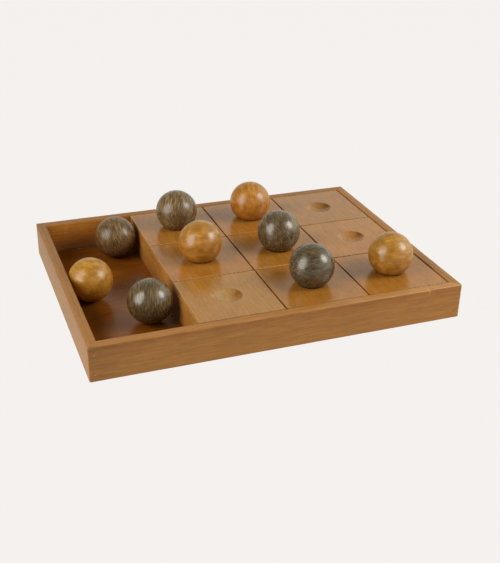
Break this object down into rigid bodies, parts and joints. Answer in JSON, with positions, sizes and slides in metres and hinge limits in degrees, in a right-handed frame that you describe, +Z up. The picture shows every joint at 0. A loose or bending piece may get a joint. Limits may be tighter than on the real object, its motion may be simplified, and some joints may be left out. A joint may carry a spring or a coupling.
{
  "type": "three in a row ball game tray",
  "caption": "Mitred wooden game tray with a grid of dimpled squares on a raised deck, an open storage trough along one side, and loose turned wooden balls in a light and a dark finish.",
  "frame": {"origin": "middle of the tray's underside, on the surface that it rests on", "axes": "+X along the front rail, away from the trough, +Y from the front rail to the back rail, +Z up"},
  "size_m": [0.373, 0.2784, 0.0763],
  "materials": {
    "rail_hardwood": "stained and semi-gloss lacquered",
    "square_hardwood": "stained and gloss lacquered",
    "base_veneered_panel": "stained and lacquered",
    "deck_plywood": "bare",
    "bearer_softwood": "bare",
    "light_ball_hardwood": "turned, honey stained and lacquered",
    "dark_ball_stained_hardwood": "turned, ebonised and lacquered",
    "pin_steel": "plain wire",
    "wood_filler": "tinted filler under lacquer"
  },
  "bodies": {
    "tray": {"front_rail": "rail_hardwood", "back_rail": "rail_hardwood", "left_rail": "rail_hardwood", "right_rail": "rail_hardwood", "base_panel": "base_veneered_panel", "trough_wall": "rail_hardwood", "deck_board": "deck_plywood", "bearer_trough_side": "bearer_softwood", "bearer_left_joint": "bearer_softwood", "bearer_right_joint": "bearer_softwood", "bearer_rail_side": "bearer_softwood", "square_front_left": "square_hardwood", "square_front_middle": "square_hardwood", "square_front_right": "square_hardwood", "square_middle_left": "square_hardwood", "square_centre": "square_hardwood", "square_middle_right": "square_hardwood", "square_back_left": "square_hardwood", "square_back_middle": "square_hardwood", "square_back_right": "square_hardwood", "corner_brads": "pin_steel", "brad_fillers": "wood_filler", "panel_pins": "pin_steel"},
    "light_ball_1": {"light_ball_1": "light_ball_hardwood"},
    "light_ball_2": {"light_ball_2": "light_ball_hardwood"},
    "light_ball_3": {"light_ball_3": "light_ball_hardwood"},
    "light_ball_4": {"light_ball_4": "light_ball_hardwood"},
    "dark_ball_1": {"dark_ball_1": "dark_ball_stained_hardwood"},
    "dark_ball_2": {"dark_ball_2": "dark_ball_stained_hardwood"},
    "dark_ball_3": {"dark_ball_3": "dark_ball_stained_hardwood"},
    "dark_ball_4": {"dark_ball_4": "dark_ball_stained_hardwood"},
    "dark_ball_5": {"dark_ball_5": "dark_ball_stained_hardwood"}
  },
  "joints": [
    {"name": "light_ball_1_lift", "type": "slide", "parent": "tray", "child": "light_ball_1", "axis": [0, 0, 1], "range_m": [0, 0.08]},
    {"name": "light_ball_2_lift", "type": "slide", "parent": "tray", "child": "light_ball_2", "axis": [0, 0, 1], "range_m": [0, 0.08]},
    {"name": "light_ball_3_lift", "type": "slide", "parent": "tray", "child": "light_ball_3", "axis": [0, 0, 1], "range_m": [0, 0.08]},
    {"name": "light_ball_4_lift", "type": "slide", "parent": "tray", "child": "light_ball_4", "axis": [0, 0, 1], "range_m": [0, 0.08]},
    {"name": "dark_ball_1_lift", "type": "slide", "parent": "tray", "child": "dark_ball_1", "axis": [0, 0, 1], "range_m": [0, 0.08]},
    {"name": "dark_ball_2_lift", "type": "slide", "parent": "tray", "child": "dark_ball_2", "axis": [0, 0, 1], "range_m": [0, 0.08]},
    {"name": "dark_ball_3_lift", "type": "slide", "parent": "tray", "child": "dark_ball_3", "axis": [0, 0, 1], "range_m": [0, 0.08]},
    {"name": "dark_ball_4_lift", "type": "slide", "parent": "tray", "child": "dark_ball_4", "axis": [0, 0, 1], "range_m": [0, 0.08]},
    {"name": "dark_ball_5_lift", "type": "slide", "parent": "tray", "child": "dark_ball_5", "axis": [0, 0, 1], "range_m": [0, 0.08]}
  ]
}
